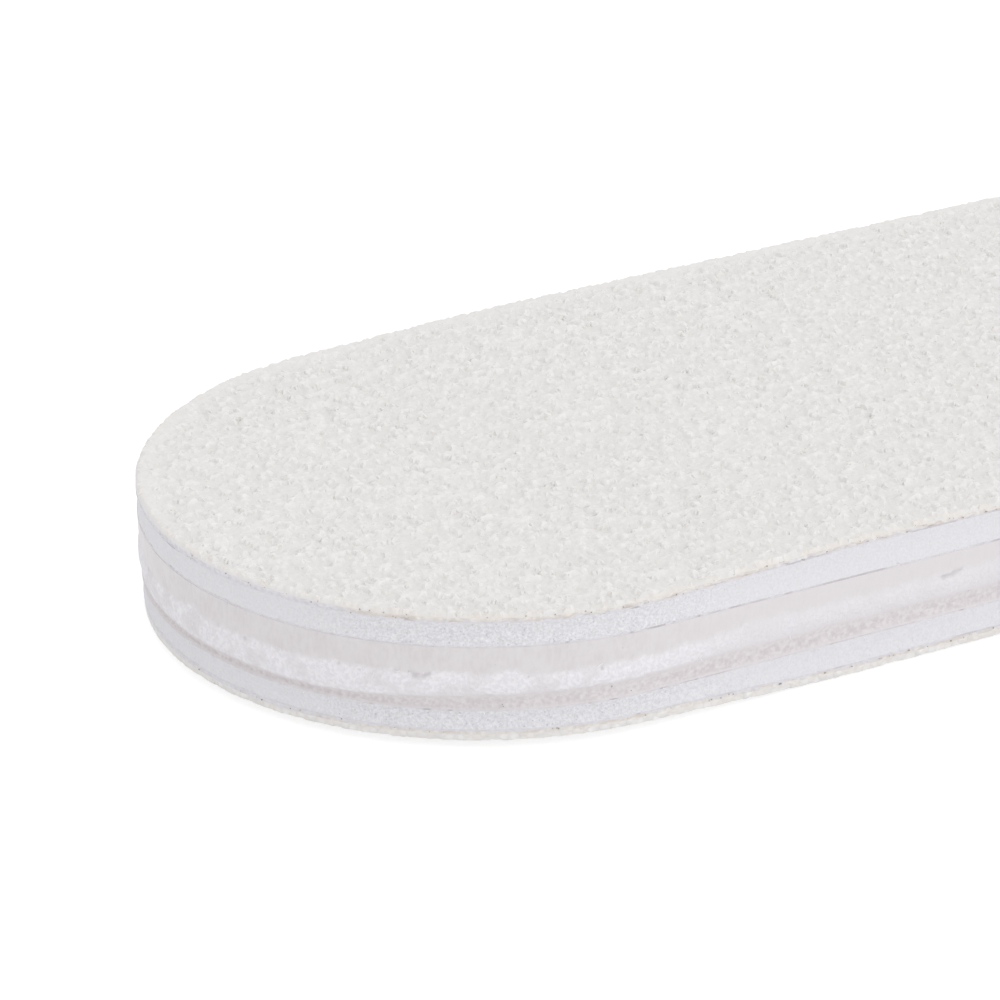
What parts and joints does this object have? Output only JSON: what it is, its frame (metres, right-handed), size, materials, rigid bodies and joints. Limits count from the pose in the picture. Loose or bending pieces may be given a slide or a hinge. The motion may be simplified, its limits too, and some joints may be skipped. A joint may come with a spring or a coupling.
{
  "type": "cushioned emery board",
  "caption": "Flat round-tipped emery board: abrasive coats on backing papers and foam cushions, laminated to both faces of a stiff plastic core.",
  "frame": {"origin": "centre of the lower face, in the plane that the board rests on", "axes": "+X along the board's length, +Y across its width, +Z through its thickness to the upper face, whose foam cushion is the thicker one"},
  "size_m": [0.178, 0.019, 0.0042],
  "materials": {
    "grit": "matt, fine white abrasive grains in a clear binder",
    "paper": "matt cut edge",
    "film": "thin clear adhesive with dust on its cut edge",
    "foam": "matt, fine cut cells",
    "core": "satin where sheared, whitened where torn"
  },
  "bodies": {
    "root": {"upper_grit": "grit", "upper_paper": "paper", "upper_paper_film": "film", "upper_foam": "foam", "upper_core_film": "film", "core": "core", "lower_core_film": "film", "lower_foam": "foam", "lower_paper_film": "film", "lower_paper": "paper", "lower_grit": "grit"}
  },
  "joints": []
}
